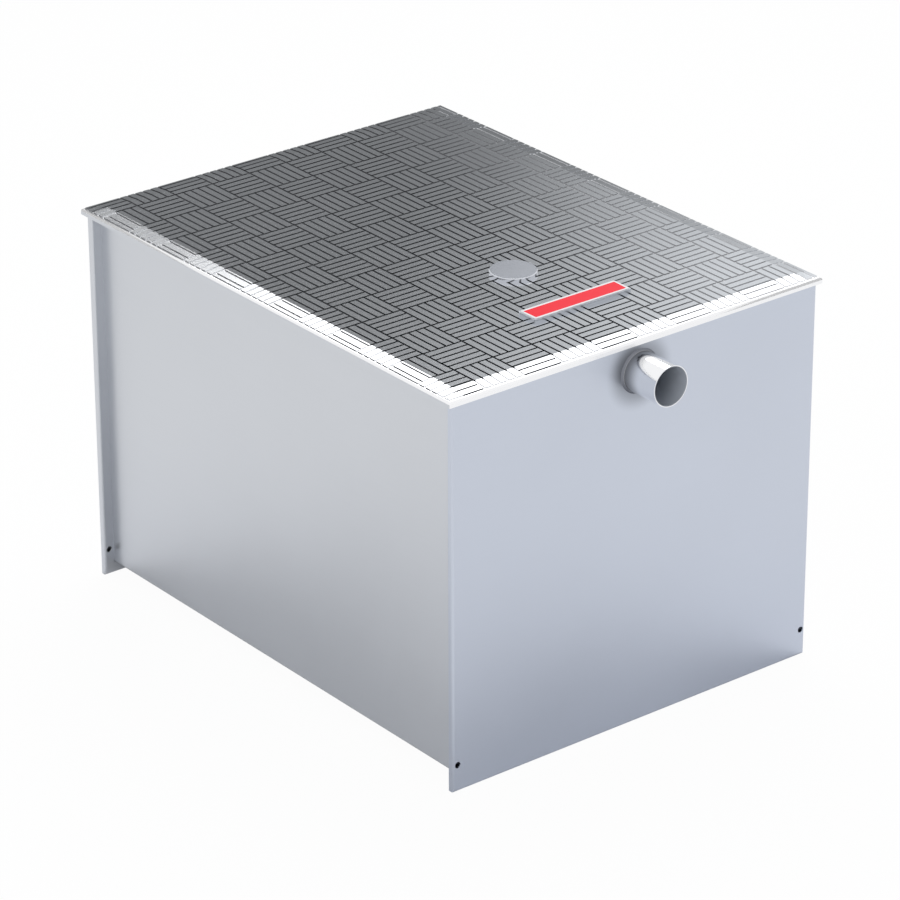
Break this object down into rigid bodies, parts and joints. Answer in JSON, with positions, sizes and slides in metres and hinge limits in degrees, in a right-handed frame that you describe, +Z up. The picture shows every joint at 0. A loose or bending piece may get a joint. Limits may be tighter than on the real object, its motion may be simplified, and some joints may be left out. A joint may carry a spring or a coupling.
{
  "type": "grease trap",
  "caption": "Stainless steel grease trap: box tank on folded end plates with feet, pipe stubs at both ends, baffles and a strainer basket inside, under a loose tread plate lid.",
  "frame": {"origin": "on the floor, under the middle of the tank", "axes": "+Y from the inlet end to the outlet end, +X across the tank, +Z up"},
  "size_m": [0.562, 0.83, 0.5097],
  "materials": {
    "tank_steel": "satin stainless sheet",
    "pipe_steel": "polished stainless tube",
    "inner_steel": "mill stainless sheet",
    "tread_plate": "rolled tread plate with raised bars",
    "plug_steel": "turned stainless",
    "gasket_rubber": "matt foam rubber strip",
    "badge_metal": "satin",
    "badge_enamel": "gloss red field with a white border, no lettering"
  },
  "bodies": {
    "root": {"tank_wrap": "tank_steel", "front_plate": "tank_steel", "rear_plate": "tank_steel", "inlet_pipe": "pipe_steel", "outlet_pipe": "pipe_steel", "outlet_elbow": "pipe_steel", "dip_tube": "pipe_steel", "basket_rail_front": "inner_steel", "basket_rail_rear": "inner_steel", "strainer_basket": "inner_steel", "basket_handle": "inner_steel", "front_guides": "inner_steel", "front_baffle": "inner_steel", "rear_guides": "inner_steel", "rear_baffle": "inner_steel", "lid_gasket": "gasket_rubber", "lid": "tread_plate", "lid_plug": "plug_steel", "badge_base": "badge_metal", "badge_face": "badge_enamel"}
  },
  "joints": []
}
